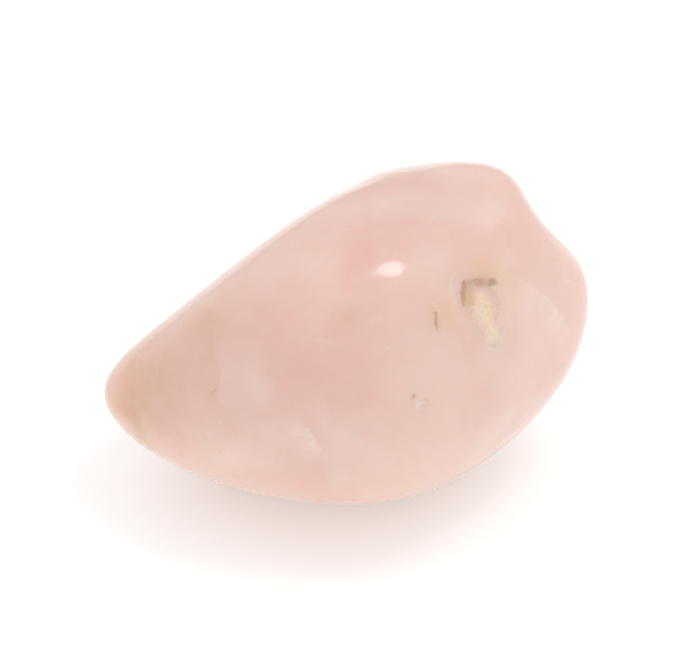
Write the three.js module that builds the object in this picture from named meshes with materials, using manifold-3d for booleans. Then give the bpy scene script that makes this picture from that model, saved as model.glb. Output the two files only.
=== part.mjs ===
// A tumbled rose quartz pebble: a broken chunk whose faces, edges and corners a tumbling barrel has
// worn round. One solid, as the real stone is. Millimetres, +Z up. The stone lies on its small worn
// flat, and the origin is on the surface under it, below the middle of the stone's box.
import * as THREE from "three";
import { mergeVertices } from "three/addons/utils/BufferGeometryUtils.js";
import Module from "manifold-3d";

// Driving dimensions: the stone's box, from beak to shoulder, front to back, and flat to crown.
const LENGTH = 25;
const DEPTH = 20;
const HEIGHT = 16;

// How deep the flat that the stone stands on is worn into its underside.
const FLAT_WEAR = 0.22;

// The higher this is, the crisper the edges between the worn faces are.
const CRISPNESS = 12;

// Each side of a triangle of an icosahedron is divided into this many parts and one more.
const FINENESS = 18;

// How far the eggs that crevices and scars are cut with are lifted, and their segments all round.
const CREVICE_LIFT = 0;
const CREVICE_SEGMENTS = 16;
const SCAR_LIFT = 0.75;
const SCAR_SEGMENTS = 36;

// The broken faces, each by the way that it looks from the stone's middle, in degrees from +X
// towards +Y and up, and by its distance from that middle.
const BROKEN_FACES = {
  crown: { azimuth: 10, elevation: 84, distance: 8.1 },
  crest: { azimuth: 97, elevation: 55, distance: 8.5 },
  crestEnd: { azimuth: 134, elevation: 46, distance: 6.8 },
  leftSlope: { azimuth: 147, elevation: 39, distance: 5.8 },
  brow: { azimuth: 192, elevation: 62, distance: 7.8 },
  frontLeft: { azimuth: 220, elevation: 28, distance: 8.7 },
  window: { azimuth: 304, elevation: 46, distance: 8.5 },
  front: { azimuth: 264, elevation: 12, distance: 9.4 },
  frontRight: { azimuth: 316, elevation: -2, distance: 10.3 },
  cheek: { azimuth: 340, elevation: 24, distance: 11.2 },
  saddleSlope: { azimuth: 23, elevation: 29, distance: 11.8 },
  shoulder: { azimuth: 354, elevation: -8, distance: 12.3 },
  beak: { azimuth: 190, elevation: -12, distance: 13.0 },
  lowerLeft: { azimuth: 220, elevation: -43, distance: 10.2 },
  lowerFront: { azimuth: 253, elevation: -54, distance: 8.9 },
  lowerMiddle: { azimuth: 299, elevation: -51, distance: 9.3 },
  lowerRight: { azimuth: 331, elevation: -35, distance: 10.1 },
  underside: { azimuth: 0, elevation: -90, distance: 8.1 },
  backRight: { azimuth: 50, elevation: 5, distance: 10.2 },
  back: { azimuth: 97, elevation: 10, distance: 9.9 },
  backLeft: { azimuth: 142, elevation: -6, distance: 8.8 },
  lowerBackLeft: { azimuth: 150, elevation: -45, distance: 9.0 },
  lowerBack: { azimuth: 88, elevation: -38, distance: 9.3 },
  lowerBackRight: { azimuth: 33, elevation: -42, distance: 9.5 },
};

// Soft swellings and, with a height below zero, hollows that the wear has left. The spread is the
// angle, seen from the middle, at which each has sunk to about a third.
const SOFT_RELIEF = {
  hump: { azimuth: 29, elevation: 35, height: 0.7, spread: 13 },
  knuckle: { azimuth: 12, elevation: 14, height: 0.6, spread: 13 },
  saddle: { azimuth: 20, elevation: 25, height: -0.8, spread: 11 },
  windowCrown: { azimuth: 304, elevation: 46, height: 0.7, spread: 19 },
  chin: { azimuth: 275, elevation: 8, height: 0.3, spread: 20 },
  crestNotch: { azimuth: 106, elevation: 58, height: -0.6, spread: 13 },
  leftScoop: { azimuth: 160, elevation: 22, height: -0.5, spread: 17 },
  frontScoop: { azimuth: 242, elevation: 4, height: -0.3, spread: 15 },
  backScoop: { azimuth: 75, elevation: 12, height: -0.5, spread: 20 },
  lowScoop: { azimuth: 120, elevation: -32, height: -0.4, spread: 14 },
};

// Crevices with steep walls that the wear has not reached, each by where its middle is seen from
// the stone's middle. The heading is how far its length is turned from level, up to the right of
// someone who looks at it from outside.
const CREVICES = {
  stainedBar: { azimuth: 330, elevation: 36, length: 2.3, width: 0.7, depth: 0.55, heading: -25 },
  stainedStroke: { azimuth: 323, elevation: 35, length: 1.8, width: 0.6, depth: 0.5, heading: 62 },
  slit: { azimuth: 306, elevation: 33, length: 1.2, width: 0.35, depth: 0.2, heading: 65 },
  backCrevice: { azimuth: 62, elevation: -14, length: 3.4, width: 0.8, depth: 0.4, heading: 150 },
};

// Scars with shallow rims, where a flake has come off, given in the same way.
const SCARS = {
  stainedBasin: { azimuth: 328, elevation: 28, length: 3.0, width: 2.1, depth: 0.3, heading: 65 },
  backScar: { azimuth: 118, elevation: 20, length: 5.2, width: 3.6, depth: 0.35, heading: 30 },
  beakScar: { azimuth: 176, elevation: -30, length: 3.4, width: 2.2, depth: 0.3, heading: 60 },
};

function direction({ azimuth, elevation }) {
  const a = THREE.MathUtils.degToRad(azimuth);
  const e = THREE.MathUtils.degToRad(elevation);
  return new THREE.Vector3(Math.cos(a) * Math.cos(e), Math.sin(a) * Math.cos(e), Math.sin(e));
}

const faces = Object.values(BROKEN_FACES).map((face) => ({
  normal: direction(face),
  distance: face.distance,
}));

const reliefs = Object.values(SOFT_RELIEF).map((relief) => ({
  middle: direction(relief),
  height: relief.height,
  spread: THREE.MathUtils.degToRad(relief.spread),
}));

// The distance from the middle to the worn surface. The nearest face counts most, and where faces
// meet, each takes a share off the edge between them.
function wornRadius(towards) {
  let sum = 0;
  for (const { normal, distance } of faces) {
    sum += Math.max(0, normal.dot(towards) / distance) ** CRISPNESS;
  }
  let radius = sum ** (-1 / CRISPNESS);
  for (const { middle, height, spread } of reliefs) {
    radius += height * Math.exp(-((middle.angleTo(towards) / spread) ** 2));
  }
  return radius;
}

function wornPoint(towards) {
  return towards.clone().multiplyScalar(wornRadius(towards));
}

// Only the corners' places are kept, and corners in one place become one.
function merged(geometry) {
  geometry.deleteAttribute("normal");
  geometry.deleteAttribute("uv");
  return mergeVertices(geometry);
}

function wornChunk() {
  const chunk = merged(new THREE.IcosahedronGeometry(1, FINENESS));
  const position = chunk.getAttribute("position");
  const towards = new THREE.Vector3();
  for (let i = 0; i < position.count; i += 1) {
    towards.fromBufferAttribute(position, i).normalize();
    const { x, y, z } = wornPoint(towards);
    position.setXYZ(i, x, y, z);
  }
  return chunk;
}

// What a crevice or a scar leaves empty: an egg that lies along the worn surface and reaches down to
// the depth. The lift says how much of its upper half-height its middle is above the surface.
function eggCutter({ azimuth, elevation, length, width, depth, heading }, lift, segments) {
  const middle = wornPoint(direction({ azimuth, elevation }));
  const level = wornPoint(direction({ azimuth: azimuth + 1, elevation })).sub(middle).normalize();
  const rise = wornPoint(direction({ azimuth, elevation: elevation + 1 })).sub(middle);
  const outward = level.clone().cross(rise).normalize();
  const along = level.applyAxisAngle(outward, THREE.MathUtils.degToRad(heading));
  const across = outward.clone().cross(along);
  const halfHeight = depth / (1 - lift);
  const narrowing = Math.sqrt(1 - lift ** 2);
  const egg = new THREE.SphereGeometry(1, segments, segments / 2);
  egg.scale(length / 2 / narrowing, width / 2 / narrowing, halfHeight);
  middle.addScaledVector(outward, lift * halfHeight);
  egg.applyMatrix4(new THREE.Matrix4().makeBasis(along, across, outward).setPosition(middle));
  return merged(egg);
}

// Brings the chunk to the driving box and sinks it below the surface by the wear of its flat.
function fitToBox(chunk) {
  const box = new THREE.Box3().setFromBufferAttribute(chunk.getAttribute("position"));
  const size = box.getSize(new THREE.Vector3());
  const middle = box.getCenter(new THREE.Vector3());
  const fit = new THREE.Matrix4().makeTranslation(0, 0, -FLAT_WEAR);
  fit.scale(new THREE.Vector3(LENGTH / size.x, DEPTH / size.y, (HEIGHT + FLAT_WEAR) / size.z));
  fit.multiply(new THREE.Matrix4().makeTranslation(-middle.x, -middle.y, -box.min.z));
  return fit;
}

// What lies below the surface, as a block that takes the underside down to its flat.
function groundBlock() {
  const block = new THREE.BoxGeometry(2 * LENGTH, 2 * DEPTH, HEIGHT);
  block.translate(0, 0, -HEIGHT / 2);
  return merged(block);
}

const wasm = await Module();
wasm.setup();

function toSolid(geometry) {
  const vertProperties = new Float32Array(geometry.getAttribute("position").array);
  const triVerts = new Uint32Array(geometry.index.array);
  return new wasm.Manifold(new wasm.Mesh({ numProp: 3, vertProperties, triVerts }));
}

function toGeometry(solid) {
  const { vertProperties, triVerts } = solid.getMesh();
  const geometry = new THREE.BufferGeometry();
  geometry.setAttribute("position", new THREE.BufferAttribute(vertProperties, 3));
  geometry.setIndex(new THREE.BufferAttribute(triVerts, 1));
  geometry.computeVertexNormals();
  return geometry;
}

function makeStone() {
  const chunk = wornChunk();
  const fit = fitToBox(chunk);
  const cutters = [
    ...Object.values(CREVICES).map((crevice) => eggCutter(crevice, CREVICE_LIFT, CREVICE_SEGMENTS)),
    ...Object.values(SCARS).map((scar) => eggCutter(scar, SCAR_LIFT, SCAR_SEGMENTS)),
  ];
  let stone = toSolid(chunk.applyMatrix4(fit)).subtract(toSolid(groundBlock()));
  for (const cutter of cutters) {
    stone = stone.subtract(toSolid(cutter.applyMatrix4(fit)));
  }
  return toGeometry(stone);
}

const roseQuartz = new THREE.MeshStandardMaterial({
  name: "rose quartz",
  color: 0xebc6b9,
  roughness: 0.12,
  metalness: 0,
});

const tumbledStone = new THREE.Mesh(makeStone(), roseQuartz);
tumbledStone.name = "tumbled_stone";

const part = new THREE.Group();
part.add(tumbledStone);

export default part;
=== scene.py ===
"""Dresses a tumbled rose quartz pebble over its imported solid, on a pale studio floor."""

import random
from math import cos, radians, sin

import bpy
import numpy as np
from mathutils import Matrix, Quaternion, Vector, noise


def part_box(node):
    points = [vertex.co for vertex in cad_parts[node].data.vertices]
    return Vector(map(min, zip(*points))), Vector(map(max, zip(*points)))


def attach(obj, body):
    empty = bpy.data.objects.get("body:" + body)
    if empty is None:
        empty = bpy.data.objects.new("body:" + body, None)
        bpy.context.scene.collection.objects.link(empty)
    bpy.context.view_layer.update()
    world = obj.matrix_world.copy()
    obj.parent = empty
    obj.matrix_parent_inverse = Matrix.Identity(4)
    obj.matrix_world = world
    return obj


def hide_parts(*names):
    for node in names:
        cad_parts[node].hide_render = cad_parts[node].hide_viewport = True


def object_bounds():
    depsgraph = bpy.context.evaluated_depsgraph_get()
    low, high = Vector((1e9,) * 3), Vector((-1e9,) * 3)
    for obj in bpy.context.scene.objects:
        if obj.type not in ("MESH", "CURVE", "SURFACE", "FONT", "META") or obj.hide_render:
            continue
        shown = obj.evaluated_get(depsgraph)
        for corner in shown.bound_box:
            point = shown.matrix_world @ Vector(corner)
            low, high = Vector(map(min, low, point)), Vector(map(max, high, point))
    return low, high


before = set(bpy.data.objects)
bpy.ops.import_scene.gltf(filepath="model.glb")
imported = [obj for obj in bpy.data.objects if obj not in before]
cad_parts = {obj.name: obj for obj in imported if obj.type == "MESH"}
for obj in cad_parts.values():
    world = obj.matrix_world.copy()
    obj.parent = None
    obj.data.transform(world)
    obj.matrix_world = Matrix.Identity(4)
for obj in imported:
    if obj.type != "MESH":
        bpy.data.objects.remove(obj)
SOLID_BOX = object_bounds()

bl_info = {
    "name": "Tumbled Rose Quartz",
    "version": (1, 0, 0),
    "blender": (4, 5, 0),
    "location": "3D View > Sidebar > Stone",
    "description": "Shapes and finishes a tumbled rose quartz pebble over its solid",
    "category": "Object",
}

NODE = "tumbled_stone"
BODY = "root"
PIECE = "rose_quartz_stone"
MM = 0.001
WHITE = (1, 1, 1, 1)

# Quartz bends light by this much, and lets red, green and blue this far in, as shares of its glow.
QUARTZ_IOR = 1.54
GLOW_SHARES = (1.0, 0.65, 0.55)

# How high the finest relief of the skin is, where its height is one.
RELIEF = 0.08 * MM

# Further from the stone's middle than any part of it.
OUTSIDE = 100 * MM

# What all chance in the shapes starts from, so that each run makes the same stone.
SEED = 7

# The way that the photograph's camera looks at the stone, in degrees.
CAMERA_AZIMUTH = 0
CAMERA_ELEVATION = 35

# Where in the rough quartz, with its blocks between old fractures, the stone lay. Millimetres.
CUT_FROM = (70.0, 30.0, 0.0)

# The views that marks are placed in, as azimuth and elevation.
VIEWS = {
    "front": (CAMERA_AZIMUTH, CAMERA_ELEVATION),
    "left": (-90, 15),
    "right": (90, 15),
    "back": (180, 25),
}


def mark_in(
    view, right, up, length, width, heading, colour, strength, depth=0.0, roundness=1.0, lean=0.0
):
    """A mark on the stone. It lies right of and above the middle of the stone's picture in its
    view, and its length is turned from level by the heading. Millimetres and degrees. Its colour
    hides what is under it with a strength of one. A hollow also has a depth. It is a bowl with a
    roundness of one and has a flat floor with one near zero, and with a lean it is deeper at the
    end that it heads for."""
    return dict(
        view=view, right=right, up=up, length=length, width=width, heading=heading,
        colour=colour, strength=strength, depth=depth, roundness=roundness, lean=lean,
    )


# The columns of a mark are its view, right, up, length, width, heading, colour and strength.

# Bare hollows that the polish has not reached, and the stains in them, with painted light and shade on the
# chip.
HOLLOWS = {
    "basin": mark_in("front", 6.85, 1.2, 2.8, 1.8, 100, "cream", 0.9, depth=0.18, roundness=0.5, lean=0.9),
    "trail": mark_in("front", 7.2, 0.2, 2.4, 1.3, 108, "cream", 0.8, depth=0.05),
    "stained floor": mark_in("front", 6.3, 1.8, 1.7, 1.2, 80, "honey", 0.6, depth=0.03),
    "bar": mark_in("front", 6.5, 2.45, 2.0, 0.45, 2, "rust_and_shade", 0.26, depth=0.055, roundness=0.6),
    "stroke": mark_in("front", 5.75, 1.85, 1.8, 0.48, 86, "rust_and_shade", 0.55, depth=0.08, roundness=0.6),
    "corner": mark_in("front", 5.9, 2.4, 0.6, 0.5, -45, "rust_and_shade", 0.5, depth=0.04),
    "spot": mark_in("front", 7.3, 2.48, 0.6, 0.52, 0, "umber", 0.42, depth=0.1, roundness=0.6),
    "slit": mark_in("front", 4.45, 0.5, 1.1, 0.3, 96, "rust_and_shade", 0.45, depth=0.08, roundness=0.6),
    # The chip is a real hollow. Its frost colour is partly a white bruise and partly a painted highlight on
    # its lit lower edge.
    "chip": mark_in("front", 3.74, -3.65, 0.8, 0.45, 40, "frost", 0.7, depth=0.08, roundness=0.3, lean=1.2),
    # Painted shade: a dark rust-coloured line along the chip's upper-left edge, where its rim is in shade.
    "chip edge shade": mark_in("front", 3.35, -3.2, 0.45, 0.2, 70, "rust_and_shade", 0.3, depth=0.06),
    "back crevice": mark_in("back", -4.5, -5.6, 3.6, 0.8, -20, "honey", 0.9, depth=0.25, roundness=0.5),
    "back spot": mark_in("back", -3.6, -5.9, 0.9, 0.6, -10, "rust_and_shade", 0.8, depth=0.15),
}

# Where the quartz is tinted, with some patches of painted light and shade among the tints. The later ones
# lie over the earlier ones.
TINTS = {
    "left slope": mark_in("front", -4.0, 1.2, 8.0, 4.5, 40, "blush", 0.35),
    "upper face": mark_in("front", 1.6, 4.6, 9.6, 6.0, 20, "blush", 0.78),
    "core": mark_in("front", -1.6, -1.8, 8.0, 6.5, 20, "blush", 0.22),
    "crest": mark_in("front", 2.0, 7.4, 11.0, 3.2, 8, "blush", 0.75),
    "belly": mark_in("front", 4.6, -2.8, 8.6, 6.8, 30, "milk", 0.58),
    "foot": mark_in("front", 3.0, -6.8, 15.0, 5.5, 12, "milk", 0.6),
    "right foot": mark_in("front", 7.0, -5.5, 7.0, 3.0, 45, "milk", 0.6),
    "right flank": mark_in("front", 9.6, 0.5, 12.0, 6.0, 80, "milk", 0.6),
    # Painted light: milky patches right of the pit that lift the shade on the pit's right wall and the
    # darker band below it.
    "pit side light": mark_in("front", 7.4, -1.0, 5.6, 3.2, 80, "milk", 0.6),
    "pit flank light": mark_in("front", 7.9, 1.8, 4.8, 2.2, 90, "milk", 0.65),
    "left foot": mark_in("front", -5.4, -5.9, 8.0, 3.2, -25, "milk", 0.9),
    "brow": mark_in("front", -2.9, 3.8, 5.2, 2.4, 38, "milk", 0.1),
    # Painted light: the upward-facing top-right facet made paler, as where light falls on it.
    "top corner light": mark_in("front", 7.4, 6.4, 4.5, 3.5, 60, "milk", 0.3),
    "slope stain": mark_in("front", -6.8, 0.6, 6.0, 3.4, 40, "sand", 0.5),
    "tip": mark_in("front", -11.0, -3.2, 12.0, 9.0, 20, "sand", 0.68),
    # An orange iron stain at the tip, made stronger as painted shade on the lower-left rim.
    "tip stain and shade": mark_in("front", -10.6, -4.6, 5.2, 3.6, -40, "rust_and_shade", 0.65),
    # Painted shade: a faint dark umber band on the underside of the tip.
    "tip underside shade": mark_in("front", -9.4, -4.8, 4.0, 1.8, -30, "umber", 0.12),
    "tip streak": mark_in("front", -6.7, -3.1, 1.1, 0.6, 60, "rust_and_shade", 0.3),
    "smoke": mark_in("front", -0.05, 0.66, 2.8, 2.4, 0, "sand", 0.35),
    "halo": mark_in("front", 6.9, 3.1, 3.6, 2.6, 0, "honey", 0.5),
    "yellow side": mark_in("front", 8.2, 2.2, 4.6, 3.0, 80, "honey", 0.3),
    "peach": mark_in("front", 5.0, 0.9, 3.4, 2.4, 90, "honey", 0.35),
    "seep": mark_in("front", 6.1, 1.2, 3.6, 2.0, 90, "honey", 0.5),
    "slit stain": mark_in("front", 4.15, 0.6, 1.8, 1.0, 96, "honey", 0.3),
    # Painted highlight: a pale milky stripe along the left rim of the pit, standing in for light on that
    # rim.
    "pit rim highlight": mark_in("front", 5.3, 1.9, 2.0, 0.5, 95, "milk", 0.4),
    "back cloud": mark_in("back", 1.5, 0.5, 12.0, 7.0, 20, "milk", 0.6),
    "back core": mark_in("back", 4.0, -2.5, 8.0, 5.0, -30, "blush", 0.5),
    "back stain": mark_in("back", -4.3, -5.2, 4.5, 2.6, -20, "honey", 0.5),
}

# Old cracks that have healed, and a painted sheen line on the top-right facet drawn the same way. Each runs
# along its length. The sheet that it leaves in the quartz starts sharply at the crack, fades out at its
# width, and lies left of someone who walks along it.
CRACKS = {
    "shard": mark_in("front", -1.6, -5.3, 2.8, 2.0, 130, "frost", 0.75),
    "tip edge": mark_in("front", -6.6, -0.9, 6.8, 3.5, 100, "sand", 0.28),
    "pale edge": mark_in("front", -6.4, -2.6, 3.6, 1.8, 272, "frost", 0.3),
    "feeder": mark_in("front", 4.35, 1.4, 2.6, 0.6, 99, "honey", 0.6),
    # Painted sheen: a pale line along the edge of the top-right facet, drawn as a healed crack's sheet.
    "corner sheen": mark_in("front", 7.9, 5.6, 4.0, 2.6, 62, "frost", 0.25),
    "shoulder veil": mark_in("front", 9.6, 0.6, 4.5, 2.2, 110, "frost", 0.12),
    "brow veil": mark_in("front", -3.3, 2.7, 5.0, 1.8, 40, "frost", 0.12),
    "belly veil": mark_in("front", 1.2, -5.6, 4.5, 2.2, 160, "frost", 0.2),
    "back sheet": mark_in("back", 2.0, 1.0, 8.0, 3.5, 30, "frost", 0.5),
    "back seam": mark_in("back", -6.0, 0.5, 6.0, 1.6, 110, "honey", 0.4),
    "beak veil": mark_in("left", 1.5, 0.5, 6.0, 2.4, 60, "frost", 0.5),
    "side veil": mark_in("right", -2.0, 1.0, 7.0, 2.6, 100, "frost", 0.5),
}


def colour_setting(name, description, default):
    """A colour that the user can change."""
    return bpy.props.FloatVectorProperty(
        name=name, description=description, subtype="COLOR", size=3, min=0, max=1, default=default
    )


def length_setting(name, description, default):
    """A length that the user can change, given in millimetres."""
    return bpy.props.FloatProperty(
        name=name, description=description, unit="LENGTH", min=0, precision=6, default=default * MM
    )


class StoneSettings(bpy.types.PropertyGroup):
    """What the stone is made of and how far it is worn"""

    fineness: bpy.props.IntProperty(
        name="Fineness",
        description="How often the ball that the stone starts as is divided",
        default=7,
        min=4,
        max=8,
    )
    waves: length_setting("Waves", "How far the worn faces roll in and out", 0.09)
    wave_spacing: length_setting("Wave Spacing", "How far apart the rolls are", 3.4)
    crags: length_setting("Crags", "How deep the crannies in the bare hollows are", 0.05)
    crag_spacing: length_setting("Crag Spacing", "How far apart the crannies are", 0.22)
    pinpricks: bpy.props.IntProperty(
        name="Pinpricks", description="How many tiny pits the polish has left", default=14, min=0
    )
    glow: length_setting("Glow", "How far light travels inside the stone", 4.0)
    rose: colour_setting("Rose", "Clear pink quartz", (0.785, 0.54, 0.475))
    # Milk also paints light along the pit's left rim, beside the pit and on the top-right facet.
    milk: colour_setting("Milk", "Cloudy quartz", (0.82, 0.655, 0.575))
    # Frost also paints the chip's highlight, the glints of the flecks and a sheen line on the top-right
    # facet.
    frost: colour_setting("Frost", "The sheets that healed cracks leave", (0.87, 0.74, 0.68))
    blush: colour_setting("Blush", "The reddest quartz", (0.76, 0.465, 0.415))
    honey: colour_setting("Honey", "A thin iron stain", (0.78, 0.53, 0.31))
    # Rust also paints the shade on the chip's edge and some shade on the tip's lower-left rim.
    rust_and_shade: colour_setting("Rust", "A thick iron stain", (0.58, 0.35, 0.19))
    # Umber also paints a faint shade under the tip.
    umber: colour_setting("Umber", "The darkest stain, in the end of the crevice", (0.4, 0.26, 0.14))
    cream: colour_setting("Cream", "Bare quartz grains in a hollow", (1.0, 0.8, 0.61))
    sand: colour_setting("Sand", "The tan end of the stone", (0.695, 0.455, 0.32))


class StageSettings(bpy.types.PropertyGroup):
    """The floor, the lamp and the camera"""

    floor: colour_setting("Floor", "The floor's colour", (0.8, 0.8, 0.795))
    floor_light: bpy.props.FloatProperty(
        name="Floor Light", description="How much the floor is lit from below", min=0, default=0.3
    )
    key_power: bpy.props.FloatProperty(
        name="Key", description="Power of the lamp", unit="POWER", min=0, default=0.45
    )
    ceiling: bpy.props.FloatProperty(
        name="Ceiling", description="Brightness of the white room overhead", min=0, default=1.0
    )
    walls: bpy.props.FloatProperty(
        name="Walls", description="Brightness of the white room at the horizon", min=0, default=0.7
    )
    lens: bpy.props.FloatProperty(
        name="Lens", description="Focal length", subtype="DISTANCE_CAMERA", min=1, default=250
    )
    share: bpy.props.FloatProperty(
        name="Share",
        description="How much of the picture's width the stone takes",
        subtype="FACTOR",
        min=0.1,
        max=1,
        default=0.7,
    )


def view_axes(azimuth, elevation):
    """Picture right, picture up and the way to the camera, for a view."""
    turn = radians(azimuth)
    rise = radians(elevation)
    right = Vector((cos(turn), sin(turn), 0))
    toward = Vector((sin(turn) * cos(rise), -cos(turn) * cos(rise), sin(rise)))
    return right, toward.cross(right), toward


def vertex_places(mesh):
    places = np.empty(len(mesh.vertices) * 3)
    mesh.vertices.foreach_get("co", places)
    return places.reshape(-1, 3)


def face_centres(mesh):
    centres = np.empty(len(mesh.polygons) * 3)
    mesh.polygons.foreach_get("center", centres)
    return centres.reshape(-1, 3)


def picture_middle(mesh, axes):
    """The point behind the middle of the box round the mesh's picture."""
    places = vertex_places(mesh)
    middle = Vector()
    for axis in axes:
        along = places @ np.array(axis)
        middle += axis * float(along.min() + along.max()) / 2
    return middle


def work_on(piece):
    """Select the piece alone and make it the active object."""
    bpy.ops.object.select_all(action="DESELECT")
    piece.select_set(True)
    bpy.context.view_layer.objects.active = piece


def finish_with(piece, kind, **settings):
    """Put a modifier on the piece and apply it."""
    modifier = piece.modifiers.new(kind.title(), kind)
    for name, value in settings.items():
        setattr(modifier, name, value)
    work_on(piece)
    bpy.ops.object.modifier_apply(modifier=modifier.name)


def merged_copy(node):
    """A copy of the solid with its loose triangles joined."""
    joined_within = 0.001 * MM
    work_on(node)
    bpy.ops.object.duplicate()
    copy = bpy.context.object
    bpy.ops.object.mode_set(mode="EDIT")
    bpy.ops.mesh.select_all(action="SELECT")
    bpy.ops.mesh.remove_doubles(threshold=joined_within)
    bpy.ops.object.mode_set(mode="OBJECT")
    return copy


def soft_normal(solid, place):
    """The way that the surface faces near a place, with small hollows evened out."""
    reach = 1.5 * MM
    near = [vertex.normal for vertex in solid.data.vertices if (vertex.co - place).length < reach]
    return sum(near, Vector()).normalized()


def seat(solid, mark):
    """The place of a mark on the solid: X along it, Y across it and Z out of the surface."""
    right, up, toward = view_axes(*VIEWS[mark["view"]])
    aim = picture_middle(solid.data, (right, up)) + (right * mark["right"] + up * mark["up"]) * MM
    hit, place, _, _ = solid.ray_cast(aim + toward * OUTSIDE, -toward)
    if not hit:
        raise RuntimeError(f"the mark at {mark['right']}, {mark['up']} misses the stone")
    outward = soft_normal(solid, place)
    heading = radians(mark["heading"])
    along = right * cos(heading) + up * sin(heading)
    # Slid along the line of sight, which its picture doesn't show, until it lies in the surface.
    along -= toward * along.dot(outward) / toward.dot(outward)
    along.normalize()
    matrix = Matrix((along, outward.cross(along), outward)).transposed().to_4x4()
    matrix.translation = place
    return matrix


def pinpricks(solid, count):
    """Tiny round pits strewn over the solid, each as a seat and a mark."""
    widths = (0.15, 0.35)
    stretches = (1, 1.8)
    steepness = 0.25
    low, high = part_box(NODE)
    middle = (low + high) / 2
    draw = random.Random(SEED)
    pits = {}
    for number in range(count):
        way = Vector([draw.gauss(0, 1) for _ in range(3)]).normalized()
        _, place, _, _ = solid.ray_cast(middle + way * OUTSIDE, -way)
        matrix = soft_normal(solid, place).to_track_quat("Z", "Y").to_matrix().to_4x4()
        matrix.translation = place
        wide = draw.uniform(*widths)
        long = wide * draw.uniform(*stretches)
        pit = dict(length=long, width=wide, depth=wide * steepness, roundness=0.7, lean=0.8)
        pits[f"pinprick {number}"] = (matrix, pit)
    return pits


def inside(matrix, places):
    """The places in a seat's own axes."""
    turned = np.array(matrix.inverted())
    return places @ turned[:3, :3].T + turned[:3, 3]


def make_finer(piece, marks, margin):
    """Divide the faces that the marks lie on, and those within a margin of so many millimetres
    round them."""
    centres = face_centres(piece.data)
    chosen = np.zeros(len(centres), bool)
    for matrix, mark in marks.values():
        away = np.linalg.norm(centres - np.array(matrix.translation), axis=1)
        chosen |= away < (mark["length"] / 2 + margin) * MM
    work_on(piece)
    bpy.ops.object.mode_set(mode="EDIT")
    bpy.ops.mesh.select_mode(type="FACE")
    bpy.ops.mesh.select_all(action="DESELECT")
    bpy.ops.object.mode_set(mode="OBJECT")
    piece.data.polygons.foreach_set("select", chosen)
    bpy.ops.object.mode_set(mode="EDIT")
    bpy.ops.mesh.subdivide(number_cuts=1, smoothness=1)
    bpy.ops.object.mode_set(mode="OBJECT")


def bowl(places, matrix, mark):
    """One in the deepest part of a hollow, and zero past its uneven edge."""
    unevenness = 0.3
    spacing = 0.45 * MM
    half = np.array([mark["length"] / 2, mark["width"] / 2, 1.0]) * MM
    local = inside(matrix, places) / half
    away = np.linalg.norm(local, axis=1)
    for index in np.flatnonzero(away < 1 + unevenness):
        away[index] += unevenness * noise.noise(Vector(places[index]) / spacing)
    floor = np.clip(1 - away**2, 0, 1) ** mark["roundness"]
    return floor * np.clip(1 - mark["lean"] * (1 - local[:, 0]) / 2, 0, 1)


def grains(places, among, spacing):
    """One in the crannies between broken quartz grains, and zero on the grains."""
    cranny = 0.25
    unevenness = 0.8
    crannies = np.zeros(len(places))
    noise.seed_set(SEED)
    for index in np.flatnonzero(among > 0):
        spot = Vector(places[index]) / spacing
        spot += noise.noise_vector(spot) * unevenness
        near, next_near = noise.voronoi(spot)[0][:2]
        crannies[index] = 1 - min((next_near - near) / cranny, 1)
    return crannies


def weigh(piece, name, weights):
    """A vertex group with a weight for each vertex, without those of no weight."""
    group = piece.vertex_groups.new(name=name)
    for index in np.flatnonzero(weights > 0):
        group.add([int(index)], float(weights[index]), "REPLACE")
    return name


def roll(stone, settings):
    """Let the worn faces roll in a little, as a barrel leaves them."""
    rolls = bpy.data.textures.new("rolls", "CLOUDS")
    rolls.noise_scale = settings.wave_spacing
    rolls.noise_depth = 1
    finish_with(
        stone, "DISPLACE", texture=rolls, texture_coords="LOCAL", strength=settings.waves, mid_level=1
    )


def keep_as_attribute(stone, name, values):
    """Values that the stone's materials read, one for each vertex."""
    attribute = stone.data.attributes.new(name, "FLOAT", "POINT")
    attribute.data.foreach_set("value", values)


def carve(stone, marks, settings):
    """Press the hollows in, and break up their floors into grains. A hollow's rim, up to this share
    of its depth, is only partly bare."""
    rim = 0.25
    places = vertex_places(stone.data)
    bare = np.zeros(len(places))
    for name, (matrix, mark) in marks.items():
        hollow = bowl(places, matrix, mark)
        bare = np.maximum(bare, np.clip(hollow / rim, 0, 1))
        group = weigh(stone, name, hollow)
        finish_with(stone, "DISPLACE", vertex_group=group, strength=-mark["depth"] * MM, mid_level=0)
    crannies = bare * grains(places, bare, settings.crag_spacing)
    group = weigh(stone, "crags", crannies)
    finish_with(stone, "DISPLACE", vertex_group=group, strength=-settings.crags, mid_level=0)
    keep_as_attribute(stone, "bare", bare)
    keep_as_attribute(stone, "crannies", crannies)


def stand(stone, settings):
    """Let the stone fill the solid's box again, and press its underside flat on the ground."""
    low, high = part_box(NODE)
    bpy.ops.object.mode_set(mode="EDIT")
    bpy.ops.mesh.select_mode(type="VERT")
    bpy.ops.mesh.select_all(action="SELECT")
    bpy.ops.transform.translate(value=(0, 0, -settings.waves / 2))
    bpy.ops.object.mode_set(mode="OBJECT")
    places = vertex_places(stone.data)
    room = [min(low[i] / places[:, i].min(), high[i] / places[:, i].max()) for i in (0, 1)]
    room.append(high.z / places[:, 2].max())
    bpy.ops.object.mode_set(mode="EDIT")
    bpy.ops.transform.resize(value=room, center_override=(0, 0, 0))
    bpy.ops.mesh.select_all(action="DESELECT")
    bpy.ops.object.mode_set(mode="OBJECT")
    stone.data.vertices.foreach_set("select", places[:, 2] < 0)
    bpy.ops.object.mode_set(mode="EDIT")
    bpy.ops.transform.resize(value=(1, 1, 0), center_override=(0, 0, 0))
    bpy.ops.object.mode_set(mode="OBJECT")


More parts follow.
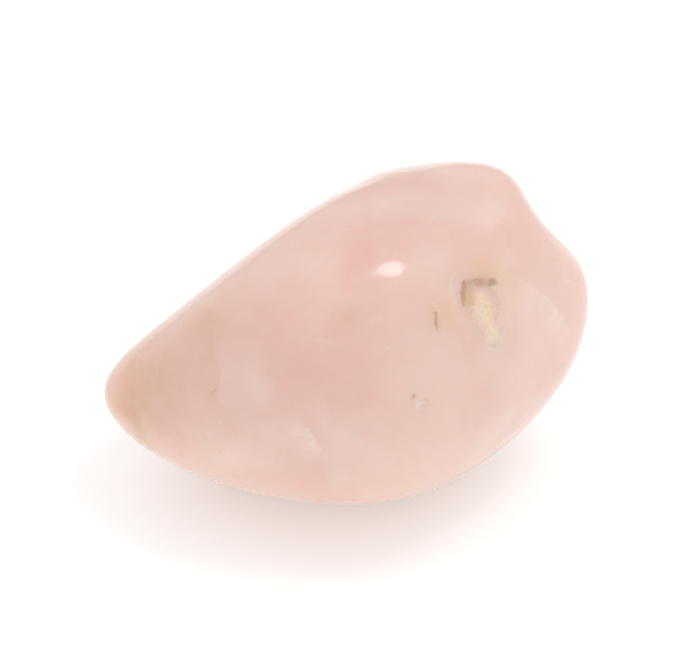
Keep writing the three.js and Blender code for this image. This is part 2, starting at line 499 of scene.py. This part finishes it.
def shape_stone(settings):
    """The worn stone as one closed mesh over the solid, and the seats of its marks."""
    clearance = 1.4
    guide = merged_copy(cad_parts[NODE])
    low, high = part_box(NODE)
    bpy.ops.object.select_all(action="DESELECT")
    # A true ball, so that it shrinks towards one point and can't fold over itself.
    bpy.ops.mesh.primitive_ico_sphere_add(
        subdivisions=settings.fineness,
        radius=max(high - low) / 2 * clearance,
        location=(low + high) / 2,
    )
    stone = bpy.context.object
    stone.name = PIECE
    bpy.ops.object.transform_apply(location=True, rotation=True, scale=True)
    finish_with(
        stone, "SHRINKWRAP", target=guide, wrap_method="PROJECT",
        use_negative_direction=True, use_positive_direction=False,
    )
    seats = {name: seat(guide, mark) for name, mark in (HOLLOWS | TINTS | CRACKS).items()}
    marks = {name: (seats[name], mark) for name, mark in HOLLOWS.items()}
    marks |= pinpricks(guide, settings.pinpricks)
    bpy.data.objects.remove(guide)

    finish_with(stone, "SMOOTH", factor=0.5, iterations=24)
    roll(stone, settings)
    make_finer(stone, marks, margin=0.6)
    make_finer(stone, marks, margin=0.3)
    finish_with(stone, "SMOOTH", factor=0.5, iterations=4)
    carve(stone, marks, settings)
    stand(stone, settings)
    bpy.ops.object.shade_smooth()
    return stone, seats


def node_in(tree, kind, **settings):
    """A new node with its settings."""
    node = tree.nodes.new(kind)
    for name, value in settings.items():
        setattr(node, name, value)
    return node


def feed(tree, target, source):
    """Link the source to the target socket, or set the target to a plain value."""
    if isinstance(source, bpy.types.NodeSocket):
        tree.links.new(source, target)
    else:
        target.default_value = source


def maths(tree, operation, first, second=0.0):
    node = node_in(tree, "ShaderNodeMath", operation=operation)
    feed(tree, node.inputs[0], first)
    feed(tree, node.inputs[1], second)
    return node.outputs["Value"]


def vector_maths(tree, operation, first, second):
    node = node_in(tree, "ShaderNodeVectorMath", operation=operation)
    feed(tree, node.inputs[0], first)
    feed(tree, node.inputs[1], second)
    return node.outputs["Vector"]


def ramp(tree, value, start, end, low=0.0, high=1.0):
    """A smooth rise from low to high while the value goes from start to end."""
    node = node_in(tree, "ShaderNodeMapRange", interpolation_type="SMOOTHSTEP")
    feed(tree, node.inputs["Value"], value)
    feed(tree, node.inputs["From Min"], start)
    feed(tree, node.inputs["From Max"], end)
    feed(tree, node.inputs["To Min"], low)
    feed(tree, node.inputs["To Max"], high)
    return node.outputs["Result"]


def near_zero(tree, value, gone, full=0.0):
    """One while the value, of either sign, is within full, and zero past gone."""
    return ramp(tree, maths(tree, "ABSOLUTE", value), start=gone, end=full)


def clouds(tree, place, spacing, detail, roughness=0.5):
    """Cloudy noise with the spacing in the place's own unit."""
    node = node_in(tree, "ShaderNodeTexNoise")
    feed(tree, node.inputs["Vector"], place)
    node.inputs["Scale"].default_value = 1 / spacing
    node.inputs["Detail"].default_value = detail
    node.inputs["Roughness"].default_value = roughness
    return node.outputs


def cloud_mask(tree, place, spacing, detail, clear, full, least=0.0, most=1.0, roughness=0.5):
    """Clouds as a mask: the least of it where the noise is under clear, and the most over full."""
    cloudiness = clouds(tree, place, spacing, detail, roughness)["Fac"]
    return ramp(tree, cloudiness, start=clear, end=full, low=least, high=most)


def cells(tree, place, spacing, feature="F1"):
    """Cells of uneven size and shape, with the spacing in the place's own unit."""
    node = node_in(tree, "ShaderNodeTexVoronoi", feature=feature)
    feed(tree, node.inputs["Vector"], place)
    node.inputs["Scale"].default_value = 1 / spacing
    return node.outputs


def pushed(tree, place, spacing, push):
    """The place, pushed about unevenly by up to half the push."""
    push_way = clouds(tree, place, spacing, detail=3)["Color"]
    push_way = vector_maths(tree, "SUBTRACT", push_way, (0.5, 0.5, 0.5))
    push_way = vector_maths(tree, "MULTIPLY", push_way, (push, push, push))
    return vector_maths(tree, "ADD", place, push_way)


def tint(tree, mask, under, over):
    """The colour over laid on the colour under where the mask is."""
    node = node_in(tree, "ShaderNodeMix", data_type="RGBA")
    factor, first, second, result = node.inputs[0], node.inputs[6], node.inputs[7], node.outputs[2]
    feed(tree, factor, mask)
    feed(tree, first, under if isinstance(under, bpy.types.NodeSocket) else (*under, 1))
    feed(tree, second, (*over, 1))
    return result


def new_group(name, inputs, outputs):
    """A node group whose inputs and outputs are given as names with their kinds. Returns it and
    its two end nodes."""
    group = bpy.data.node_groups.new(name, "ShaderNodeTree")
    for in_out, sockets in (("INPUT", inputs), ("OUTPUT", outputs)):
        for title, kind in sockets.items():
            group.interface.new_socket(title, in_out=in_out, socket_type=f"NodeSocket{kind}")
    return group, group.nodes.new("NodeGroupInput"), group.nodes.new("NodeGroupOutput")


def placed_group(name, value_in, mask_out):
    """A node group that takes a vector and a place for it. Returns it, its end nodes, and the vector
    in the place's own axes."""
    place_inputs = ("Vector", "Location", "Rotation", "Scale")
    inputs = {title: "Vector" for title in place_inputs} | {value_in: "Float"}
    group, start, end = new_group(name, inputs, {mask_out: "Float"})
    placed = node_in(group, "ShaderNodeMapping", vector_type="TEXTURE")
    for title in place_inputs:
        feed(group, placed.inputs[title], start.outputs[title])
    return group, start, end, placed.outputs["Vector"]


def soft_patch_group():
    """A mask that is one inside an egg and fades out at its edge."""
    group, start, end, local = placed_group("Soft Patch", "Core", "Mask")
    away = node_in(group, "ShaderNodeVectorMath", operation="LENGTH")
    feed(group, away.inputs[0], local)
    mask = ramp(group, away.outputs["Value"], start=1.0, end=start.outputs["Core"])
    feed(group, end.inputs["Mask"], mask)
    return group


def healed_crack_group():
    """A feathery sheet that starts at a crack and fades out to one side of it. Its start is sharp in
    some places and blurred in others. The place's own axes run from minus one to one."""
    group, start, end, local = placed_group("Healed Crack", "Hairline", "Sheet")
    axes = node_in(group, "ShaderNodeSeparateXYZ")
    feed(group, axes.inputs["Vector"], local)
    along, across, out = (axes.outputs[axis] for axis in "XYZ")
    ends = near_zero(group, along, gone=1.0, full=0.3)
    ends = maths(group, "MULTIPLY", ends, near_zero(group, out, gone=1.0, full=0.5))

    blur = cloud_mask(group, local, spacing=0.7, detail=2, clear=0.45, full=0.65, most=0.2)
    blurred = maths(group, "ADD", start.outputs["Hairline"], blur)
    sheet = ramp(group, across, start=0.0, end=blurred)
    sheet = maths(group, "MULTIPLY", sheet, ramp(group, across, start=1.0, end=0.0))

    drawn_out = vector_maths(group, "MULTIPLY", local, (1.0, 0.2, 0.2))
    feathers = cloud_mask(group, drawn_out, spacing=0.12, detail=3, clear=0.35, full=0.65, least=0.5)
    sheet = maths(group, "MULTIPLY", sheet, feathers)
    feed(group, end.inputs["Sheet"], maths(group, "MULTIPLY", sheet, ends))
    return group


def put_on(tree, group, place, matrix, reach, **values):
    """A placed group on a mark's seat, with how far it reaches along, across and into the stone.
    The place and the reach are in millimetres."""
    node = node_in(tree, "ShaderNodeGroup", node_tree=group)
    feed(tree, node.inputs["Vector"], place)
    node.inputs["Location"].default_value = matrix.translation / MM
    node.inputs["Rotation"].default_value = matrix.to_euler()
    node.inputs["Scale"].default_value = reach
    for name, value in values.items():
        node.inputs[name].default_value = value
    return node.outputs


def lay(tree, mask, mark, skin, settings):
    """The mark's colour laid on the skin where the mask is."""
    mask = maths(tree, "MULTIPLY", mask, mark["strength"])
    return tint(tree, mask, skin, getattr(settings, mark["colour"]))


def add_tints(tree, skin, places, soft_patch, seats, settings):
    """The quartz's own tints. The edges of the wide ones wander further."""
    wide_from = 5
    small_reach = 2.0
    for name, mark in TINTS.items():
        half_width = mark["width"] / 2
        if mark["length"] > wide_from:
            place, inwards = places["far"], half_width
        else:
            place, inwards = places["near"], small_reach
        reach = (mark["length"] / 2, half_width, inwards)
        patch = put_on(tree, soft_patch, place, seats[name], reach, Core=0.0)
        skin = lay(tree, patch["Mask"], mark, skin, settings)
    return skin


def add_cracks(tree, skin, places, seats, settings):
    """Old cracks that have healed."""
    hairline = 0.06
    inwards = 4.0
    healed_crack = healed_crack_group()
    for name, mark in CRACKS.items():
        width = mark["width"]
        reach = (mark["length"] / 2, width, inwards)
        crack = put_on(tree, healed_crack, places["near"], seats[name], reach, Hairline=hairline / width)
        skin = lay(tree, crack["Sheet"], mark, skin, settings)
    return skin


def add_flaws(tree, skin, places, settings):
    """Wisps, which lie where a wide, thin sheet of noise crosses the surface, the finest haze, and
    flecks, tiny flaws painted as bright specks that stand in for glints of caught light."""
    wisp = maths(tree, "SUBTRACT", clouds(tree, places["far"], spacing=7.0, detail=1)["Fac"], 0.5)
    wisp = near_zero(tree, wisp, gone=0.08)
    patches = cloud_mask(tree, places["still"], spacing=2.5, detail=4, clear=0.45, full=0.7, most=0.25)
    skin = tint(tree, maths(tree, "MULTIPLY", wisp, patches), skin, settings.frost)

    haze = cloud_mask(
        tree, places["still"], spacing=0.8, detail=5, clear=0.4, full=0.8, most=0.2, roughness=0.65
    )
    skin = tint(tree, haze, skin, settings.milk)

    # Painted glints: small bright specks of frost colour on tiny flaws.
    largest = 0.16
    fleck_glint = cells(tree, places["near"], spacing=1.1)
    radius = maths(tree, "MULTIPLY", fleck_glint["Color"], largest)
    fleck_glint = ramp(tree, fleck_glint["Distance"], start=radius, end=0.0, high=0.6)
    return tint(tree, fleck_glint, skin, settings.frost)


def add_blocks(tree, skin, places, settings):
    """Blocks between old fractures, some a little cloudier inside than others."""
    spacing = 4.5
    place = pushed(tree, places["still"], spacing=2.0, push=0.8)
    place = vector_maths(tree, "ADD", place, CUT_FROM)
    block = cells(tree, place, spacing)
    from_edge = cells(tree, place, spacing, feature="DISTANCE_TO_EDGE")["Distance"]
    cloudier = ramp(tree, block["Color"], start=0.3, end=0.7, high=0.17)
    cloudier = maths(tree, "MULTIPLY", cloudier, ramp(tree, from_edge, start=0.0, end=0.09))
    skin = tint(tree, cloudier, skin, settings.milk)

    fracture = ramp(tree, from_edge, start=0.015, end=0.0)
    patches = cloud_mask(tree, places["still"], spacing=2.0, detail=3, clear=0.5, full=0.65, most=0.22)
    return tint(tree, maths(tree, "MULTIPLY", fracture, patches), skin, settings.frost)


def add_stains(tree, skin, places, bare, crannies, soft_patch, seats, settings):
    """Bare grains, paler than the polish round them, and the stains in the hollows, which are
    thickest in the crannies."""
    paler = 0.3
    thicker = 0.25
    inwards = 2.0
    skin = tint(tree, maths(tree, "MULTIPLY", bare, paler), skin, settings.frost)
    stained = 0.0
    for name, mark in HOLLOWS.items():
        reach = (mark["length"] / 2, mark["width"] / 2, inwards)
        patch = put_on(tree, soft_patch, places["near"], seats[name], reach, Core=0.3)
        skin = lay(tree, patch["Mask"], mark, skin, settings)
        if mark["colour"] != "frost":
            stained = maths(tree, "MAXIMUM", stained, patch["Mask"])
    stained = maths(tree, "MULTIPLY", stained, maths(tree, "MULTIPLY", crannies, thicker))
    return tint(tree, stained, skin, settings.honey)


def quartz_skin_group(settings, seats):
    """What polished quartz and bare grains share: the skin's colour, roughness and height. Place is
    in metres, Bare is one where the polish has not reached, and Crannies is one between grains."""
    inputs = {"Place": "Vector", "Bare": "Float", "Crannies": "Float"}
    outputs = {"Colour": "Color", "Roughness": "Float", "Height": "Float"}
    group, start, end = new_group("Quartz Skin", inputs, outputs)
    bare = start.outputs["Bare"]
    crannies = start.outputs["Crannies"]
    still = vector_maths(group, "MULTIPLY", start.outputs["Place"], (1 / MM, 1 / MM, 1 / MM))
    places = {
        "still": still,
        "far": pushed(group, still, spacing=3.0, push=3.0),
        "near": pushed(group, still, spacing=0.5, push=0.7),
    }
    soft_patch = soft_patch_group()
    cloudy = cloud_mask(group, places["far"], spacing=5.0, detail=3, clear=0.3, full=0.75, most=0.35)
    skin = tint(group, cloudy, settings.rose, settings.milk)
    skin = add_tints(group, skin, places, soft_patch, seats, settings)
    skin = add_cracks(group, skin, places, seats, settings)
    skin = add_flaws(group, skin, places, settings)
    skin = add_blocks(group, skin, places, settings)
    skin = add_stains(group, skin, places, bare, crannies, soft_patch, seats, settings)
    feed(group, end.inputs["Colour"], skin)

    duller = 0.5
    polish = cloud_mask(group, still, spacing=1.8, detail=3, clear=0.3, full=0.7, least=0.1, most=0.16)
    roughness = maths(group, "ADD", polish, maths(group, "MULTIPLY", bare, duller))
    feed(group, end.inputs["Roughness"], roughness)

    ripple_share = 0.06
    ripples = clouds(group, still, spacing=1.1, detail=2)["Fac"]
    ripples = maths(group, "MULTIPLY", ripples, ripple_share)
    grain = clouds(group, still, spacing=0.12, detail=4, roughness=0.7)["Fac"]
    grain = maths(group, "MULTIPLY", grain, bare)
    feed(group, end.inputs["Height"], maths(group, "ADD", ripples, grain))
    return group


def rose_quartz(title, skin, glow, see_deep):
    """Rose quartz. See_deep is how much of the light goes inside: all of it in polished quartz, and
    less in bare, stained grains."""
    material = bpy.data.materials.new(title)
    material.use_nodes = True
    tree = material.node_tree
    shader = tree.nodes["Principled BSDF"]
    node = node_in(tree, "ShaderNodeGroup", node_tree=skin)
    feed(tree, node.inputs["Place"], node_in(tree, "ShaderNodeTexCoord").outputs["Object"])
    for name in ("Bare", "Crannies"):
        kept = node_in(tree, "ShaderNodeAttribute", attribute_name=name.lower())
        feed(tree, node.inputs[name], kept.outputs["Fac"])
    feed(tree, shader.inputs["Base Color"], node.outputs["Colour"])
    feed(tree, shader.inputs["Roughness"], node.outputs["Roughness"])
    bump = node_in(tree, "ShaderNodeBump")
    bump.inputs["Strength"].default_value = 1
    bump.inputs["Distance"].default_value = RELIEF
    feed(tree, bump.inputs["Height"], node.outputs["Height"])
    feed(tree, shader.inputs["Normal"], bump.outputs["Normal"])

    shader.inputs["IOR"].default_value = QUARTZ_IOR
    shader.inputs["Subsurface Weight"].default_value = see_deep
    shader.inputs["Subsurface Radius"].default_value = GLOW_SHARES
    shader.inputs["Subsurface Scale"].default_value = glow
    return material


class STONE_OT_pebble(bpy.types.Operator):
    """Make the tumbled stone"""

    bl_idname = "stone.pebble"
    bl_label = "Tumbled Stone"

    def execute(self, context):
        settings = context.scene.stone
        stone, seats = shape_stone(settings)
        skin = quartz_skin_group(settings, seats)
        stone.data.materials.clear()
        stone.data.materials.append(rose_quartz("rose quartz", skin, settings.glow, see_deep=1.0))
        stone.data.materials.append(rose_quartz("bare grains", skin, settings.glow, see_deep=0.5))
        bare_from = 0.2
        centres = face_centres(stone.data)
        bare = sum(bowl(centres, seats[name], mark) for name, mark in HOLLOWS.items())
        stone.data.polygons.foreach_set("material_index", (bare > bare_from).astype(int))
        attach(stone, BODY)
        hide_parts(NODE)
        return {"FINISHED"}


def add_softbox(name, azimuth, elevation, distance, roll, width, height, power):
    """An oval lamp that looks at the stone, rolled about its own axis."""
    *_, toward = view_axes(azimuth, elevation)
    bpy.ops.object.light_add(type="AREA", location=toward * distance)
    lamp = bpy.context.object
    lamp.name = name
    turn = toward.to_track_quat("Z", "Y") @ Quaternion((0, 0, 1), radians(roll))
    lamp.rotation_euler = turn.to_euler()
    lamp.data.shape = "ELLIPSE"
    lamp.data.size = width
    lamp.data.size_y = height
    lamp.data.energy = power
    lamp.visible_camera = False


def white_room(settings):
    """A world of white light that is brighter overhead than at its walls."""
    world = bpy.data.worlds.new("white room")
    world.use_nodes = True
    tree = world.node_tree
    axes = node_in(tree, "ShaderNodeSeparateXYZ")
    way = node_in(tree, "ShaderNodeTexCoord").outputs["Generated"]
    feed(tree, axes.inputs["Vector"], way)
    background = tree.nodes["Background"]
    background.inputs["Color"].default_value = WHITE
    strength = ramp(
        tree, axes.outputs["Z"], start=0.0, end=1.0, low=settings.walls, high=settings.ceiling
    )
    feed(tree, background.inputs["Strength"], strength)
    return world


def pale_paper(settings):
    """Matt paper that glows a little, so that the stone's shadow on it is faint."""
    paper = bpy.data.materials.new("pale floor")
    paper.use_nodes = True
    shader = paper.node_tree.nodes["Principled BSDF"]
    shader.inputs["Base Color"].default_value = (*settings.floor, 1)
    shader.inputs["Roughness"].default_value = 0.7
    shader.inputs["Emission Color"].default_value = WHITE
    shader.inputs["Emission Strength"].default_value = settings.floor_light
    return paper


def add_camera(settings):
    """A camera on the photograph's line of sight, with the stone in the middle of its picture."""
    right, up, toward = view_axes(CAMERA_AZIMUTH, CAMERA_ELEVATION)
    low, high = SOLID_BOX
    middle = (low + high) / 2
    aim = picture_middle(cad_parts[NODE].data, (right, up))
    aim += toward * (middle - aim).dot(toward)
    bpy.ops.object.camera_add()
    camera = bpy.context.object
    camera.data.lens = settings.lens
    picture_width = (high.x - low.x) / settings.share
    distance = picture_width * settings.lens / camera.data.sensor_width
    camera.location = aim + toward * distance
    camera.rotation_euler = toward.to_track_quat("Z", "Y").to_euler()
    camera.data.clip_start = 10 * MM
    return camera


class STONE_OT_stage(bpy.types.Operator):
    """Make the pale floor, the studio lamp and the camera"""

    bl_idname = "stone.stage"
    bl_label = "Studio Stage"

    def execute(self, context):
        scene = context.scene
        settings = scene.stage
        bpy.ops.object.select_all(action="DESELECT")
        bpy.ops.mesh.primitive_plane_add(size=4)
        floor = bpy.context.object
        floor.name = "floor"
        floor.data.materials.append(pale_paper(settings))

        add_softbox(
            "key lamp", azimuth=94, elevation=69, distance=0.6, roll=80, width=0.16, height=0.2,
            power=settings.key_power,
        )
        scene.world = white_room(settings)
        scene.view_settings.view_transform = "Standard"
        scene.camera = add_camera(settings)
        return {"FINISHED"}


class STONE_PT_panel(bpy.types.Panel):
    """Lists what the stone's scene is made of"""

    bl_label = "Tumbled Stone"
    bl_idname = "STONE_PT_panel"
    bl_space_type = "VIEW_3D"
    bl_region_type = "UI"
    bl_category = "Stone"

    def draw(self, context):
        for settings in (context.scene.stone, context.scene.stage):
            for name in settings.bl_rna.properties.keys():
                if name not in {"rna_type", "name"}:
                    self.layout.prop(settings, name)
        for operator in (STONE_OT_pebble, STONE_OT_stage):
            self.layout.operator(operator.bl_idname)


CLASSES = (StoneSettings, StageSettings, STONE_OT_pebble, STONE_OT_stage, STONE_PT_panel)


def register():
    for cls in CLASSES:
        bpy.utils.register_class(cls)
    bpy.types.Scene.stone = bpy.props.PointerProperty(type=StoneSettings)
    bpy.types.Scene.stage = bpy.props.PointerProperty(type=StageSettings)


def unregister():
    del bpy.types.Scene.stage
    del bpy.types.Scene.stone
    for cls in reversed(CLASSES):
        bpy.utils.unregister_class(cls)


def main():
    register()
    bpy.ops.stone.pebble()
    bpy.ops.stone.stage()


if __name__ == "__main__":
    main()
